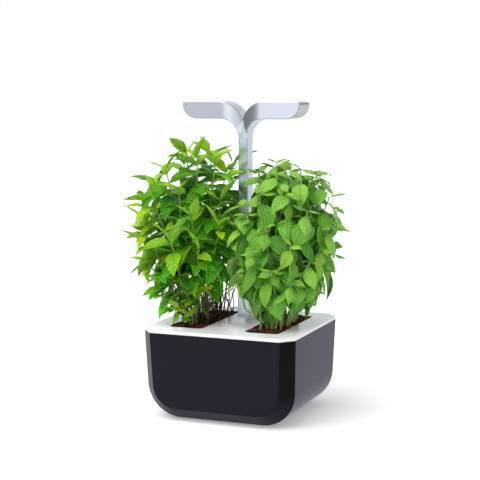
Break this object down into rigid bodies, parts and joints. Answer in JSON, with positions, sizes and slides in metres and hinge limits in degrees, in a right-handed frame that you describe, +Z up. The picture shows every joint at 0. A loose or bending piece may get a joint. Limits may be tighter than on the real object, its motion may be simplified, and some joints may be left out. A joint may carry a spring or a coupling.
{
  "type": "countertop hydroponic garden",
  "caption": "Countertop planter with a dark chamfered water tank, a white slotted lid, two herb plants in baskets and a slim silver grow lamp with two leaf-shaped arms.",
  "frame": {"origin": "centre of the base, on the surface it stands on", "axes": "+Z up, +Y to the rear, where the power inlet is; the two arms of the lamp point along X"},
  "size_m": [0.28, 0.176, 0.364],
  "materials": {
    "tank_black": "satin",
    "foot_rubber": "matte",
    "lid_white": "gloss",
    "inner_white": "matte",
    "inner_black": "matte",
    "float_orange": "satin",
    "steel": "satin",
    "lamp_silver": "satin",
    "cap_grey": "matte",
    "lens_frosted": "satin",
    "board_white": "satin",
    "board_green": "satin",
    "led": "gloss",
    "light_pipe": "gloss",
    "wire_red": "satin",
    "button_grey": "satin",
    "soil": "matte",
    "felt": "matte",
    "mint_leaf": "satin",
    "basil_leaf": "satin",
    "mint_stem": "satin",
    "basil_stem": "satin"
  },
  "bodies": {
    "tank": {"water_tank": "tank_black", "feet": "foot_rubber"},
    "lid": {"lid": "lid_white", "hatch_pin": "steel", "float_guide": "inner_white", "control_housing": "inner_white", "control_board": "board_green", "dc_inlet": "inner_black", "power_switch": "inner_black", "status_light_pipe": "light_pipe", "housing_screws": "steel", "lamp_jack": "inner_black"},
    "hatch": {"fill_hatch": "lid_white"},
    "float": {"level_float": "float_orange"},
    "button": {"power_button": "button_grey"},
    "lamp": {"mast_tube": "steel", "lamp_plug": "inner_black", "lamp_lead": "wire_red", "lamp_front_shell": "lamp_silver", "lamp_rear_shell": "lamp_silver", "lamp_screws": "steel", "end_cap_left": "cap_grey", "end_cap_right": "cap_grey", "led_board_left": "board_white", "led_board_right": "board_white", "leds_left": "led", "leds_right": "led", "diffuser_left": "lens_frosted", "diffuser_right": "lens_frosted"},
    "mint_pod": {"mint_basket": "inner_black", "mint_block": "soil", "mint_wicks": "felt", "mint_stems": "mint_stem", "mint_foliage": "mint_leaf"},
    "basil_pod": {"basil_basket": "inner_black", "basil_block": "soil", "basil_wicks": "felt", "basil_stems": "basil_stem", "basil_foliage": "basil_leaf"}
  },
  "joints": [
    {"name": "lid_lift", "type": "slide", "parent": "tank", "child": "lid", "axis": [0, 0, 1], "range_m": [0, 0.12]},
    {"name": "hatch_hinge", "type": "hinge", "parent": "lid", "child": "hatch", "pos_m": [0, -0.0147, 0.104], "axis": [-1, 0, 0], "range_deg": [0, 90]},
    {"name": "float_rise", "type": "slide", "parent": "lid", "child": "float", "axis": [0, 0, 1], "range_m": [0, 0.048]},
    {"name": "button_press", "type": "slide", "parent": "lid", "child": "button", "axis": [0, 0, -1], "range_m": [0, 0.0015], "stiffness_N_per_m": 800, "springref_m": -0.001},
    {"name": "lamp_pull", "type": "slide", "parent": "lid", "child": "lamp", "axis": [0, 0, 1], "range_m": [0, 0.03]},
    {"name": "mint_lift", "type": "slide", "parent": "lid", "child": "mint_pod", "axis": [0, 0, 1], "range_m": [0, 0.018]},
    {"name": "basil_lift", "type": "slide", "parent": "lid", "child": "basil_pod", "axis": [0, 0, 1], "range_m": [0, 0.018]}
  ]
}
